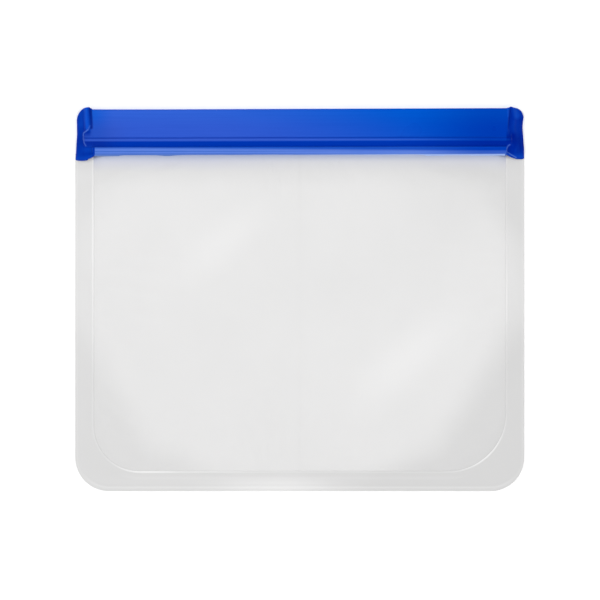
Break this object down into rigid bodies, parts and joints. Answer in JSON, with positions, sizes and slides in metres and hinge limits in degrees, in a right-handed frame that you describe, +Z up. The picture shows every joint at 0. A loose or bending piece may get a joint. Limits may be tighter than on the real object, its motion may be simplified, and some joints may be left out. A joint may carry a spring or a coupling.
{
  "type": "reusable food storage bag",
  "caption": "Flat reusable food bag of frosted film with rounded lower corners, welded edges and a wide blue press-to-close zip with crushed ends.",
  "frame": {"origin": "on the table, under the middle of the bag as it lies on its back film", "axes": "+X to the right along the zip, +Y towards the mouth, +Z up through the front film"},
  "size_m": [0.215, 0.184, 0.008],
  "materials": {
    "frosted_film": "frosted, half clear",
    "welded_film": "melted together, slightly denser than the film",
    "blue_plastic": "glossy, slightly see-through where thin"
  },
  "bodies": {
    "back_wall": {"back_film": "frosted_film", "left_side_weld": "welded_film", "right_side_weld": "welded_film", "bottom_weld": "welded_film", "back_zip_strip": "blue_plastic", "back_lip": "blue_plastic", "upper_zip_channel": "blue_plastic", "lower_zip_channel": "blue_plastic", "left_end_weld": "blue_plastic", "right_end_weld": "blue_plastic"},
    "front_wall": {"front_film": "frosted_film", "front_zip_strip": "blue_plastic", "upper_zip_bead": "blue_plastic", "lower_zip_bead": "blue_plastic"},
    "lip": {"front_lip": "blue_plastic"}
  },
  "joints": [
    {"name": "mouth_opening", "type": "hinge", "parent": "back_wall", "child": "front_wall", "pos_m": [0, -0.0825, 0.0007], "axis": [1, 0, 0], "range_deg": [0, 12]},
    {"name": "front_lip_flex", "type": "hinge", "parent": "front_wall", "child": "lip", "pos_m": [0, 0.07825, 0.0035], "axis": [1, 0, 0], "range_deg": [0, 40], "stiffness_Nm_per_rad": 0.016}
  ]
}
